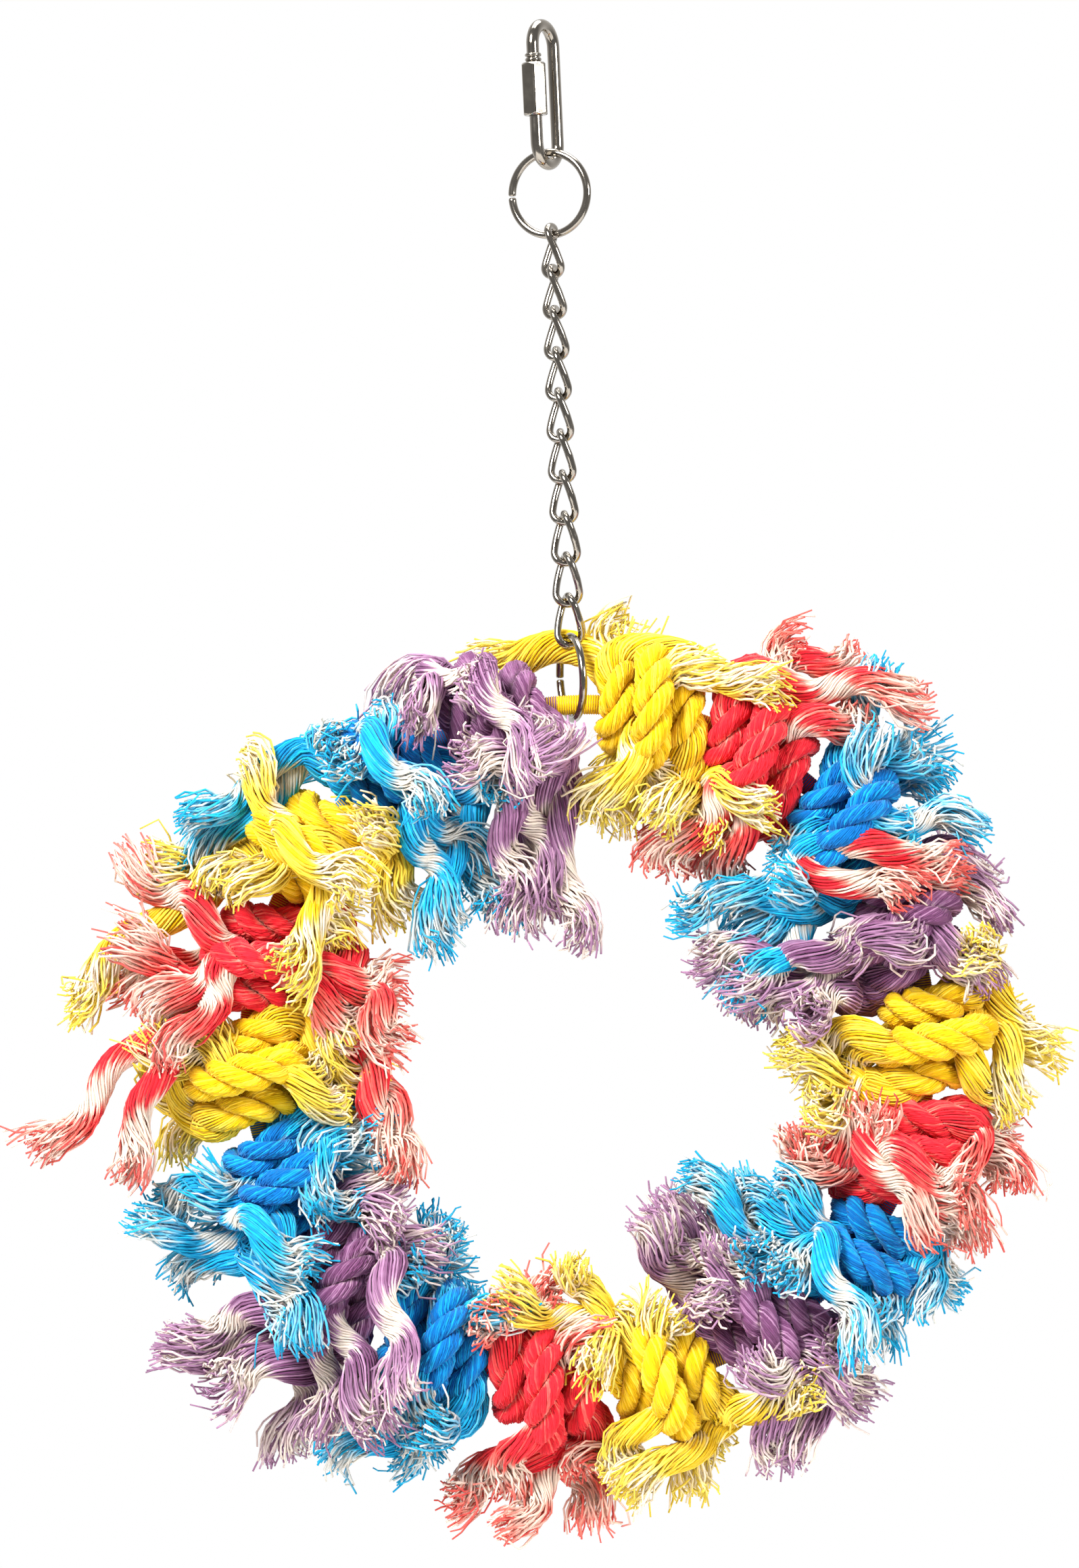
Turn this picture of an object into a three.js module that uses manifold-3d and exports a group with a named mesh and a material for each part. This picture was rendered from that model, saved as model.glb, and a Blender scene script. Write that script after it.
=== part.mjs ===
// Bird rope ring: a knotted rope hoop for a cage, hung by a twisted chain from a screw-lock quick link.
// Millimetres, +Z up, front towards -Y. The origin is the inside of the quick link's upper bend, where it
// hangs.
import * as THREE from "three";
import { mergeVertices } from "three/addons/utils/BufferGeometryUtils.js";
import Module from "manifold-3d";

const wasm = await Module();
wasm.setup();

// Driving dimensions
const LINK_WIRE = 3.5; // quick link wire
const LINK_LENGTH = 42; // quick link, end to end outside
const LINK_SPACING = 11.5; // between the middles of the quick link's two legs
const NUT_LENGTH = 14.6;
const NUT_FLATS = 6.6; // across the hexagon's flats
const NUT_TOP = -9.1; // height of the nut's upper end when the gate is closed
const NUT_GRIP = 2.5; // how far the closed nut covers the upper end of the gate
const NUT_CHAMFER = 0.8;
const GATE = 4.2; // clear opening when the nut is screwed down
const BEAD_ROWS = 2; // collar beads above the nut
const BEAD_WIRE = 1.1;
const BEAD_PITCH = 1.3;
const RING_OUTSIDE = 25.1; // top ring and hanging ring
const RING_WIRE = 2.2;
const RING_BUTT = 0.5; // gap where the ring's ends meet
const CHAIN_LINKS = 10;
const CHAIN_WIRE = 2.05;
const CHAIN_PITCH = 11.4;
const CHAIN_WIDTH = 8.8; // across one link, outside
const CORE_RADIUS = 94; // hoop, to the middle of its wire
const CORE_WIRE = 5;
const ROPE = 8.6; // rope drawn tight in its knot
const TAIL_SWELL = 1.5; // how much wider a frayed tail end is than the rope
const HITCH_TURNS = 2.15; // half of the hitch, in half turns of the core from its crossing
const HITCH_PLACES = [0, 0.58, 1.03, 1.5, 1.6, 2.4]; // along the core at each half of those, in turn steps
const CROSSING_SPAN = 0.8; // the crossing lifts over the tails within this many half turns
const SHOULDER_ALONG = 13.8; // where a tail leaves its hitch, along the core from the crossing
const SHOULDER_OUT = 5.5; // and beyond the turns on the core

// Clearances
const SEAT = 0.3; // between wires that hang in each other
const NUT_CLEARANCE = 0.2; // between the nut's bore and the wire
const ROPE_SEAT = 0.6; // between the rope and the core
const ROPE_GAP = 0.7; // between neighbouring turns of the rope
const CROSSING_GAP = 2; // between the crossing and the tails under it

// How the hardware hangs, as turns about the vertical in degrees
const QUICK_LINK_TURN = 60;
const TOP_RING_TURN = -25;
const FIRST_LINK_TURN = -30; // of a chain link's lower end
const LAST_LINK_TURN = 12;
const CHAIN_TWIST = -90; // from a link's lower end to its upper end
const HANGING_RING_TURN = -74;

// Faceting
const WIRE_SIDES = 8;
const LINK_STEPS = 48;
const RING_STEPS = 36;
const CHAIN_STEPS = 28;
const CHAIN_SIDES = 6;
const CORE_STEPS = 64;
const ROPE_SIDES = 6;
const HITCH_STEPS = 26;
const TAIL_STEPS = 4;
const MERGE = 1e-3; // corners this near are one
const GAP_SAMPLING = 5; // how much finer a route is when its own gap is measured
const GAP_APART = 1.6 * ROPE; // stretches nearer along the rope than this are the same bend

// Knots clockwise from the top: where they sit on the core, how far the crossing is turned from the front
// towards the outside of the hoop, and the ends of the outer and the inner tail as degrees clockwise,
// distance outside the core and distance in front of it.
const KNOTS = [
  { colour: "yellow", at: 13.2, turned: 10, tails: [[6, 24, -10], [26, -32, 12]] },
  { colour: "red", at: 32.8, turned: -14, tails: [[34, 42, 8], [42, -30, -8]] },
  { colour: "blue", at: 52.4, turned: 12, tails: [[48, 36, 6], [58, -40, 10]] },
  { colour: "purple", at: 72, turned: -8, tails: [[70, 30, -6], [74, -40, 12]] },
  { colour: "yellow", at: 91.6, turned: 16, tails: [[94, 36, 8], [98, -34, 10]] },
  { colour: "red", at: 111.2, turned: -10, tails: [[112, 32, 8], [113, -34, 8]] },
  { colour: "blue", at: 130.8, turned: 14, tails: [[132, 32, 6], [132, -44, 10]] },
  { colour: "purple", at: 150.4, turned: -12, tails: [[151, 36, 4], [158, -40, 8]] },
  { colour: "yellow", at: 170, turned: 8, tails: [[168, 38, 6], [188, -32, 16]] },
  { colour: "red", at: 189.6, turned: 20, tails: [[191, 50, 10], [198, -26, -10]] },
  { colour: "blue", at: 209.2, turned: -16, tails: [[206, 30, 12], [222, -30, 8]] },
  { colour: "purple", at: 228.8, turned: 10, tails: [[230, 48, 8], [236, -26, -8]] },
  { colour: "blue", at: 248.4, turned: -12, tails: [[250, 38, 6], [249, -30, 14]] },
  { colour: "yellow", at: 268, turned: 6, tails: [[269, 26, -8], [273, -32, 4]] },
  { colour: "red", at: 287.6, turned: -18, tails: [[274, 54, 12], [288, -38, 12]] },
  { colour: "yellow", at: 307.2, turned: 12, tails: [[299, 38, 4], [308, -28, 4]] },
  { colour: "blue", at: 326.8, turned: -10, tails: [[316, 32, 8], [330, -42, 10]] },
  { colour: "purple", at: 346.4, turned: 14, tails: [[338, 24, -4], [352, -48, 12]] },
];

// Sizes that follow from these
const linkRadius = LINK_WIRE / 2;
const bendRadius = LINK_SPACING / 2;
const linkTop = linkRadius; // middle of the wire at the top of the upper bend
const linkBottom = linkTop - (LINK_LENGTH - LINK_WIRE);
const ringRadius = (RING_OUTSIDE - RING_WIRE) / 2;
const hang = (upper, lower) => (upper + lower) / 2 + SEAT; // lift of one wire's middle over another's
const topRingTop = linkBottom + hang(LINK_WIRE, RING_WIRE);
const topRingMiddle = topRingTop - ringRadius;
const chainTop = topRingMiddle - ringRadius + hang(RING_WIRE, CHAIN_WIRE);
const chainLength = CHAIN_PITCH + hang(CHAIN_WIRE, CHAIN_WIRE); // one link, between the middles of its ends
const chainBottom = chainTop - CHAIN_PITCH * (CHAIN_LINKS - 1) - chainLength;
const hangingRingMiddle = chainBottom + hang(CHAIN_WIRE, RING_WIRE) - ringRadius;
const coreTop = hangingRingMiddle - ringRadius + hang(RING_WIRE, CORE_WIRE);
const hoopMiddle = coreTop - CORE_RADIUS;
const ropeRadius = ROPE / 2;
const turnRadius = CORE_WIRE / 2 + ROPE_SEAT + ropeRadius; // rope lying on the core
const turnStep = (ROPE + ROPE_GAP) / 2; // half the space between two turns

const radians = THREE.MathUtils.degToRad;

function material(color, roughness, metalness) {
  return new THREE.MeshStandardMaterial({ color, roughness, metalness });
}

const STEEL = () => material("#c9c5bd", 0.22, 1);
const ROPE_COLOURS = { yellow: "#f2ce1b", red: "#e3202c", blue: "#0a73c8", purple: "#7a4e86" };

function named(name, geometry, finish) {
  const mesh = new THREE.Mesh(geometry, finish);
  mesh.name = name;
  return mesh;
}

// Joining and cutting closed meshes
function solid(geometry) {
  const bare = geometry.clone();
  bare.deleteAttribute("normal");
  bare.deleteAttribute("uv");
  const merged = mergeVertices(bare, MERGE);
  return new wasm.Manifold(
    new wasm.Mesh({
      numProp: 3,
      vertProperties: merged.attributes.position.array,
      triVerts: new Uint32Array(merged.index.array),
    }),
  );
}

function geometryOf(body) {
  const mesh = body.getMesh();
  const geometry = new THREE.BufferGeometry();
  geometry.setAttribute("position", new THREE.BufferAttribute(new Float32Array(mesh.vertProperties), 3));
  geometry.setIndex(new THREE.BufferAttribute(new Uint32Array(mesh.triVerts), 1));
  geometry.computeVertexNormals();
  return geometry;
}

// Round wire along a curve, with flat ends
function wireAlong(curve, wire, steps) {
  const section = new THREE.Shape();
  section.absarc(0, 0, wire / 2, 0, 2 * Math.PI);
  return new THREE.ExtrudeGeometry(section, {
    extrudePath: curve,
    steps,
    curveSegments: WIRE_SIDES / 2,
    bevelEnabled: false,
  });
}

// Rings of corners round a route: an open route gets flat ends, a closed one joins up with itself
function tubeThrough(points, radii, sides, closed) {
  const count = points.length;
  const middle = new THREE.Vector3();
  points.forEach((p) => middle.addScaledVector(p, 1 / count));
  const positions = [];
  const across = new THREE.Vector3();
  points.forEach((p, i) => {
    const before = points[closed ? (i + count - 1) % count : Math.max(i - 1, 0)];
    const after = points[closed ? (i + 1) % count : Math.min(i + 1, count - 1)];
    const along = after.clone().sub(before).normalize();
    if (closed) across.copy(p).sub(middle);
    else if (i === 0) across.set(along.z, along.x, along.y);
    across.addScaledVector(along, -across.dot(along)).normalize();
    const beside = along.clone().cross(across);
    for (let side = 0; side < sides; side++) {
      const angle = (2 * Math.PI * side) / sides;
      const corner = p.clone();
      corner.addScaledVector(across, radii[i] * Math.cos(angle));
      corner.addScaledVector(beside, radii[i] * Math.sin(angle));
      positions.push(corner);
    }
  });
  const index = [];
  const spans = closed ? count : count - 1;
  for (let i = 0; i < spans; i++) {
    for (let side = 0; side < sides; side++) {
      const a = i * sides + side;
      const b = i * sides + ((side + 1) % sides);
      const c = (a + sides) % (count * sides);
      const d = (b + sides) % (count * sides);
      index.push(a, b, d, a, d, c);
    }
  }
  if (!closed) {
    const first = positions.push(points[0].clone()) - 1;
    const last = positions.push(points[count - 1].clone()) - 1;
    for (let side = 0; side < sides; side++) {
      const next = (side + 1) % sides;
      const base = (count - 1) * sides;
      index.push(first, next, side, last, base + side, base + next);
    }
  }
  const geometry = new THREE.BufferGeometry().setFromPoints(positions);
  geometry.setIndex(index);
  geometry.computeVertexNormals();
  return geometry;
}

// Half a turn of wire in the XZ plane
class Bend extends THREE.Curve {
  constructor(height, from) {
    super();
    this.height = height;
    this.from = from;
  }
  getPoint(t, target = new THREE.Vector3()) {
    const angle = this.from - Math.PI * t;
    return target.set(bendRadius * Math.cos(angle), 0, this.height + bendRadius * Math.sin(angle));
  }
}

// A ring of wire in the XZ plane whose ends meet at its left
class ButtRing extends THREE.Curve {
  getPoint(t, target = new THREE.Vector3()) {
    const gap = RING_BUTT / ringRadius;
    const angle = Math.PI + gap / 2 + t * (2 * Math.PI - gap);
    return target.set(ringRadius * Math.cos(angle), 0, ringRadius * Math.sin(angle));
  }
}

function quickLink() {
  const upperBend = linkTop - bendRadius;
  const lowerBend = linkBottom + bendRadius;
  const gateTop = NUT_TOP - NUT_GRIP;
  const left = (z) => new THREE.Vector3(-bendRadius, 0, z);
  const right = (z) => new THREE.Vector3(bendRadius, 0, z);
  const route = new THREE.CurvePath();
  route.add(new THREE.LineCurve3(left(gateTop), left(upperBend)));
  route.add(new Bend(upperBend, Math.PI));
  route.add(new THREE.LineCurve3(right(upperBend), right(lowerBend)));
  route.add(new Bend(lowerBend, 0));
  route.add(new THREE.LineCurve3(left(lowerBend), left(gateTop - GATE)));
  let body = solid(wireAlong(route, LINK_WIRE, LINK_STEPS));
  for (let row = 0; row < BEAD_ROWS; row++) {
    const bead = new THREE.TorusGeometry(linkRadius, BEAD_WIRE / 2, WIRE_SIDES, 2 * WIRE_SIDES);
    bead.translate(-bendRadius, 0, NUT_TOP + SEAT + BEAD_WIRE / 2 + BEAD_PITCH * row);
    body = body.add(solid(bead));
  }
  return geometryOf(body);
}

function quickLinkNut() {
  const corner = NUT_FLATS / Math.sqrt(3);
  const hexagon = new THREE.CylinderGeometry(corner, corner, NUT_LENGTH, 6).rotateX(Math.PI / 2);
  const half = NUT_LENGTH / 2;
  const face = corner - NUT_CHAMFER;
  const profile = [[0, -half], [face, -half], [corner, NUT_CHAMFER - half]];
  profile.push([corner, half - NUT_CHAMFER], [face, half], [0, half]);
  const outline = profile.map(([r, y]) => new THREE.Vector2(r, y));
  const barrel = new THREE.LatheGeometry(outline, 4 * WIRE_SIDES).rotateX(Math.PI / 2);
  const boreRadius = linkRadius + NUT_CLEARANCE;
  const bore = new THREE.CylinderGeometry(boreRadius, boreRadius, 2 * NUT_LENGTH, 2 * WIRE_SIDES);
  bore.rotateX(Math.PI / 2);
  return geometryOf(solid(hexagon).intersect(solid(barrel)).subtract(solid(bore)));
}

// One link: a closed oval of wire, given its twist along its length
function chainLink() {
  const reach = (CHAIN_WIDTH - CHAIN_WIRE) / 2;
  const straight = chainLength - 2 * reach;
  const round = 2 * Math.PI * reach + 2 * straight;
  const oval = (s) => {
    const quarter = (Math.PI * reach) / 2;
    if (s < quarter) return [reach * Math.sin(s / reach), straight / 2 + reach * Math.cos(s / reach)];
    if (s < quarter + straight) return [reach, straight / 2 - (s - quarter)];
    const angle = (s - straight) / reach;
    return [reach * Math.sin(angle), -straight / 2 + reach * Math.cos(angle)];
  };
  const points = [];
  for (let i = 0; i < CHAIN_STEPS; i++) {
    const s = (round * i) / CHAIN_STEPS;
    const side = s < round / 2 ? 1 : -1;
    const [x, z] = oval(side > 0 ? s : round - s);
    const twist = radians(CHAIN_TWIST) * (z / chainLength + 0.5);
    points.push(new THREE.Vector3(side * x * Math.cos(twist), side * x * Math.sin(twist), z));
  }
  return tubeThrough(points, points.map(() => CHAIN_WIRE / 2), CHAIN_SIDES, true);
}

// Route of a hitch round the core. The turn runs from its crossing in front, at 0, to a tail, at
// HITCH_TURNS, in half turns of the core.
function hitchAlong(turn) {
  const size = 2 * Math.abs(turn);
  const i = Math.min(Math.floor(size), HITCH_PLACES.length - 2);
  const from = HITCH_PLACES[i];
  const to = HITCH_PLACES[i + 1];
  const before = i > 0 ? HITCH_PLACES[i - 1] : -to;
  const after = i + 2 < HITCH_PLACES.length ? HITCH_PLACES[i + 2] : 2 * to - from;
  const t = size - i;
  const smooth = from + 0.5 * t * (to - before + t * (2 * before - 5 * from + 4 * to - after
    + t * (3 * (from - to) + after - before)));
  return Math.sign(turn) * smooth * turnStep;
}

function hitchOut(turn) {
  const lifted = Math.abs(turn) < CROSSING_SPAN;
  const near = lifted ? Math.cos((Math.PI * turn) / (2 * CROSSING_SPAN)) ** 2 : 0;
  return turnRadius + near * (ROPE + CROSSING_GAP);
}

// A point given as degrees clockwise from the top, distance outside the core and distance in front of it
function onHoop([clockwise, outside, front]) {
  const angle = radians(clockwise);
  const distance = CORE_RADIUS + outside;
  return new THREE.Vector3(distance * Math.sin(angle), -front, distance * Math.cos(angle));
}

function knotRoute({ at, turned, tails }, stepsPerHitch, stepsPerTail) {
  const angle = radians(at);
  const facing = radians(turned);
  const outward = new THREE.Vector3(Math.sin(angle), 0, Math.cos(angle));
  const forward = new THREE.Vector3(0, -1, 0);
  const clockwise = new THREE.Vector3(Math.cos(angle), 0, -Math.sin(angle));
  const crossing = forward.clone().multiplyScalar(Math.cos(facing));
  crossing.addScaledVector(outward, Math.sin(facing));
  const sideways = outward.clone().multiplyScalar(Math.cos(facing));
  sideways.addScaledVector(forward, -Math.sin(facing));
  const place = (turn) => {
    const p = outward.clone().multiplyScalar(CORE_RADIUS);
    p.addScaledVector(crossing, hitchOut(turn) * Math.cos(Math.PI * turn));
    p.addScaledVector(sideways, hitchOut(turn) * Math.sin(Math.PI * turn));
    return p.addScaledVector(clockwise, -hitchAlong(turn));
  };
  const hitch = [];
  for (let i = 0; i <= stepsPerHitch; i++) hitch.push(place(HITCH_TURNS * (1 - (2 * i) / stepsPerHitch)));
  const tail = (end, turn) => {
    const side = Math.sign(turn);
    const shoulder = outward.clone().multiplyScalar(CORE_RADIUS);
    shoulder.addScaledVector(sideways, side * (turnRadius + SHOULDER_OUT));
    shoulder.addScaledVector(clockwise, -side * SHOULDER_ALONG);
    const bend = new THREE.CatmullRomCurve3([place(turn), shoulder, onHoop(end)]);
    return bend.getPoints(stepsPerTail).slice(1);
  };
  const first = tail(tails[0], HITCH_TURNS).reverse();
  return [...first, ...hitch, ...tail(tails[1], -HITCH_TURNS)];
}

// Least gap between stretches of one rope that aren't next to each other along it
function leastGap(points) {
  let least = Infinity;
  points.forEach((p, i) => {
    let run = 0;
    for (let j = i + 1; j < points.length; j++) {
      run += points[j].distanceTo(points[j - 1]);
      if (run > GAP_APART) least = Math.min(least, p.distanceTo(points[j]) - ROPE);
    }
  });
  return least;
}

function knot(spec) {
  const points = knotRoute(spec, HITCH_STEPS, TAIL_STEPS);
  const radii = points.map((_, i) => {
    const fromEnd = Math.min(i, points.length - 1 - i);
    const fray = Math.max(0, 1 - fromEnd / (TAIL_STEPS - 1));
    return ropeRadius * (1 + (TAIL_SWELL - 1) * fray);
  });
  return tubeThrough(points, radii, ROPE_SIDES, false);
}

const part = new THREE.Group();

const clasp = new THREE.Group();
clasp.rotation.z = radians(QUICK_LINK_TURN);
clasp.add(named("quick_link", quickLink(), STEEL()));
const nut = named("quick_link_nut", quickLinkNut(), STEEL());
nut.position.set(-bendRadius, 0, NUT_TOP - NUT_LENGTH / 2);
clasp.add(nut);
part.add(clasp);

function ring(name, height, turn) {
  const mesh = named(name, wireAlong(new ButtRing(), RING_WIRE, RING_STEPS), STEEL());
  mesh.position.z = height;
  mesh.rotation.z = radians(turn);
  part.add(mesh);
}
ring("top_ring", topRingMiddle, TOP_RING_TURN);
ring("hanging_ring", hangingRingMiddle, HANGING_RING_TURN);

for (let i = 0; i < CHAIN_LINKS; i++) {
  const mesh = named(`chain_link_${String(i + 1).padStart(2, "0")}`, chainLink(), STEEL());
  mesh.position.z = chainTop - chainLength / 2 - CHAIN_PITCH * i;
  const turn = FIRST_LINK_TURN + ((LAST_LINK_TURN - FIRST_LINK_TURN) * i) / (CHAIN_LINKS - 1);
  mesh.rotation.z = radians(turn);
  part.add(mesh);
}

const hoop = new THREE.Group();
hoop.position.z = hoopMiddle;
const core = new THREE.TorusGeometry(CORE_RADIUS, CORE_WIRE / 2, WIRE_SIDES, CORE_STEPS).rotateX(Math.PI / 2);
hoop.add(named("core_ring", core, material("#8d8d8a", 0.45, 1)));
let ropeGap = Infinity;
KNOTS.forEach((spec, i) => {
  const name = `knot_${String(i + 1).padStart(2, "0")}_${spec.colour}`;
  hoop.add(named(name, knot(spec), material(ROPE_COLOURS[spec.colour], 0.9, 0)));
  const route = knotRoute(spec, GAP_SAMPLING * HITCH_STEPS, GAP_SAMPLING * TAIL_STEPS);
  ropeGap = Math.min(ropeGap, leastGap(route));
});
part.add(hoop);
console.log(`least gap of a rope to itself: ${ropeGap.toFixed(2)} mm`);

export default part;
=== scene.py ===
"""Bird rope ring: a hoop of dyed, knotted cotton rope, hung in a cage by a twisted chain and a quick link.

Metres, +Z up, front towards -Y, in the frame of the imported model. Sizes typed here are in millimetres.
"""

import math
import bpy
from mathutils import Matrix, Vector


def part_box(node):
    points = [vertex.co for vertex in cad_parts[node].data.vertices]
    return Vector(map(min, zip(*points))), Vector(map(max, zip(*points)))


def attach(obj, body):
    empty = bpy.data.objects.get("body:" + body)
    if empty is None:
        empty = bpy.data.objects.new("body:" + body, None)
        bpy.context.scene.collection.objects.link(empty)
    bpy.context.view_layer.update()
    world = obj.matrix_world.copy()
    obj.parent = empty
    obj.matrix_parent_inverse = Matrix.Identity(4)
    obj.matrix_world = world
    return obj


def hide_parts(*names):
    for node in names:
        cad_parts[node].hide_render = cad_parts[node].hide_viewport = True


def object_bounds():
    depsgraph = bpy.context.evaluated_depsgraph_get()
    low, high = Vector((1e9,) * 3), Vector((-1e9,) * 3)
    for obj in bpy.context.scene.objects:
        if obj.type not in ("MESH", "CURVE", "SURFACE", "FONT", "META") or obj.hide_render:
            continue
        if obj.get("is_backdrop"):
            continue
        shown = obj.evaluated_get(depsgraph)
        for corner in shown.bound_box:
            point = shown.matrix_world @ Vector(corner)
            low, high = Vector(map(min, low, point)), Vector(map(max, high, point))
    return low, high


bl_info = {
    "name": "Bird Rope Ring",
    "version": (1, 0, 0),
    "blender": (4, 5, 0),
    "location": "3D View > Sidebar > Rope Ring",
    "description": "Builds a knotted rope ring for a bird cage with its chain and quick link",
    "category": "Add Mesh",
}

import bpy
import numpy as np
from bpy.props import FloatProperty, FloatVectorProperty, IntProperty, PointerProperty
from mathutils import Matrix

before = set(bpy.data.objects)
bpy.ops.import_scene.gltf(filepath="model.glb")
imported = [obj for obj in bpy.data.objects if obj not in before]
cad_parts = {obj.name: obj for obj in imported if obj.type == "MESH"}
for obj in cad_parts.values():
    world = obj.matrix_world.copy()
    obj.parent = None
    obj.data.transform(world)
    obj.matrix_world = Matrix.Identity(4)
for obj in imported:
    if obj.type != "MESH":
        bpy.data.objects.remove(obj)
CAD_BOX = [list(corner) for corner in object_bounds()]

MM = 0.001
PHOTO_SIZE = (1596, 2319)


def linear(hex_colour):
    """An sRGB hex value as linear red, green and blue."""
    channels = [int(hex_colour[i : i + 2], 16) / 255 for i in (1, 3, 5)]
    return tuple(c / 12.92 if c <= 0.04045 else ((c + 0.055) / 1.055) ** 2.4 for c in channels)


# Hoop and hitches, laid as in the solids but of soft rope, which is fuller and is pressed together where
# it touches
core_low, core_high = (np.array(corner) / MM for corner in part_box("core_ring"))
HOOP = (core_low + core_high) / 2
CORE_WIRE = core_high[1] - core_low[1]
CORE_RADIUS = (core_high[2] - core_low[2] - CORE_WIRE) / 2
ROPE = 11.6
ROPE_SEAT = 0.2
ROPE_GAP = 0.0
CROSSING_GAP = -2.0
CROSSING_SPAN = 0.8
HITCH_TURNS = 2.15
HITCH_PLACES = np.array([0, 0.58, 1.03, 1.5, 1.6, 2.4])
SHOULDER_ALONG = 13.8
SHOULDER_OUT = 7.0
TURN_RADIUS = CORE_WIRE / 2 + ROPE_SEAT + ROPE / 2
TURN_STEP = (ROPE + ROPE_GAP) / 2

# Knots clockwise from the top: colour, degrees clockwise, degrees by which the crossing is turned from the
# front to the outside, then where the three strands of the outer and of the inner tail end: degrees
# clockwise, distance from the hoop's middle and distance in front of it
KNOTS = (
    ("yellow", 13.2, 10, ((346, 110, -18), (8, 118, -6), (31, 112, 20)),
     ((31, 62, 14), (20, 64, 20), (40, 84, 23))),
    ("red", 32.8, -14, ((47, 135, 8), (31, 127, 2), (38, 134, -8)),
     ((18, 58, -8), (67, 116, 19), (69, 98, 23))),
    ("blue", 52.4, 12, ((39, 137, 4), (58, 122, -4), (52, 128, 8)),
     ((31, 45, 8), (50, 68, 22), (76, 42, 12))),
    ("purple", 72, -8, ((70, 121, -6), (77, 118, 6), (64, 114, -14)),
     ((48, 40, 10), (82, 57, 20), (60, 42, 0))),
    ("yellow", 91.6, 16, ((101, 122, 8), (78, 108, 18), (94, 130, 0)),
     ((96, 54, 14), (92, 58, 2), (107, 61, 21))),
    ("red", 111.2, -10, ((115, 108, 21), (112, 125, 4), (106, 121, -8)),
     ((113, 60, 10), (104, 78, 23), (119, 64, -6))),
    ("blue", 130.8, 14, ((133, 118, 10), (139, 106, 21), (126, 125, -4)),
     ((146, 42, 8), (142, 72, 21), (138, 51, -6))),
    ("purple", 150.4, -12, ((157, 128, 6), (143, 103, 21), (145, 127, -6)),
     ((166, 46, 12), (155, 45, -4), (154, 76, 22))),
    ("yellow", 170, 8, ((178, 124, 16), (150, 109, 23), (170, 128, 0)),
     ((206, 72, 18), (181, 90, 25), (188, 56, 4))),
    ("red", 189.6, 20, ((193, 138, 12), (201, 132, 4), (184, 119, 6)),
     ((198, 68, -10), (188, 66, 6), (203, 78, 22))),
    ("blue", 209.2, -16, ((207, 113, 21), (208, 127, 4), (215, 138, -8)),
     ((225, 79, 22), (221, 62, 6), (214, 62, -6))),
    ("purple", 228.8, 10, ((238, 146, 8), (231, 140, 14), (216, 123, 21)),
     ((236, 68, -8), (228, 73, 21), (240, 62, 6))),
    ("blue", 248.4, -12, ((252, 136, 10), (229, 110, 24), (243, 133, -4)),
     ((241, 85, 23), (249, 63, 14), (256, 58, 0))),
    ("yellow", 268, 6, ((271, 121, -8), (263, 114, -14), (277, 118, 8)),
     ((262, 58, 8), (248, 70, -4), (272, 64, 14))),
    ("red", 287.6, -18, ((261, 156, 10), (257, 134, 16), (287, 136, 14)),
     ((236, 64, 12), (241, 60, 8), (272, 52, 20))),
    ("yellow", 307.2, 12, ((294, 132, 2), (277, 146, 8), (295, 110, 18)),
     ((318, 88, 25), (308, 60, 4), (285, 88, 26))),
    ("blue", 326.8, -10, ((301, 129, 12), (325, 112, 16), (296, 120, 4)),
     ((345, 74, 22), (303, 50, 14), (324, 42, 4))),
    ("purple", 346.4, 14, ((335, 98, 27), (346, 105, 26), (332, 110, -8)),
     ((349, 80, 28), (356, 26, 10), (331, 36, 6))),
)

# Steel fittings, as in the solids
LINK_WIRE = 3.5
LINK_LENGTH = 42.0
LINK_SPACING = 11.5
LINK_TURN = 60.0
NUT_LENGTH = 14.6
NUT_FLATS = 6.6
NUT_TOP = -9.1
NUT_GRIP = 2.5
NUT_CHAMFER = 0.8
NUT_CLEARANCE = 0.2
NUT_ROUNDING = 0.12
NUT_LIP = 0.15
GATE = 4.2
BEAD_ROWS = 2
BEAD_WIRE = 1.1
BEAD_PITCH = 1.3
SEAT = 0.3
RING_WIRE = 2.2
RING_BUTT = 0.5
CUT_END = 0.8
RING_TURNS = {"top_ring": -25.0, "hanging_ring": -74.0}
CHAIN_LINKS = 10
CHAIN_WIRE = 2.05
CHAIN_WIDTH = 8.8
CHAIN_TWIST = -90.0
WELD_LENGTH = 0.9
WELD_SWELL = 0.05
FIRST_LINK_TURN = -30.0
LAST_LINK_TURN = 12.0

# Fineness of the fittings: corners round a wire and steps along it
LINK_SIDES = 28
LINK_BEND_STEPS = 40
LINK_LEG_STEPS = 24
BEAD_SIDES = 14
BEAD_STEPS = 48
NUT_STEPS = 144
NUT_CHAMFER_ROWS = 9
NUT_FLAT_ROWS = 6
NUT_SHARP = 20.0  # degrees from which an edge of the nut shows
RING_SIDES = 24
RING_STEPS = 180
CHAIN_SIDES = 20
CHAIN_BEND_STEPS = 36
CHAIN_LEG_STEPS = 22
CORE_SIDES = 20
CORE_STEPS = 240


def length_setting(name, description, size):
    """A length that a user may change, with its default in millimetres."""
    return FloatProperty(
        name=name, description=description, default=size * MM, min=0, subtype="DISTANCE", unit="LENGTH"
    )


def colour_setting(name, description, hex_colour):
    """A colour that a user may change."""
    return FloatVectorProperty(
        name=name, description=description, default=linear(hex_colour), min=0, max=1, subtype="COLOR"
    )


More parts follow.
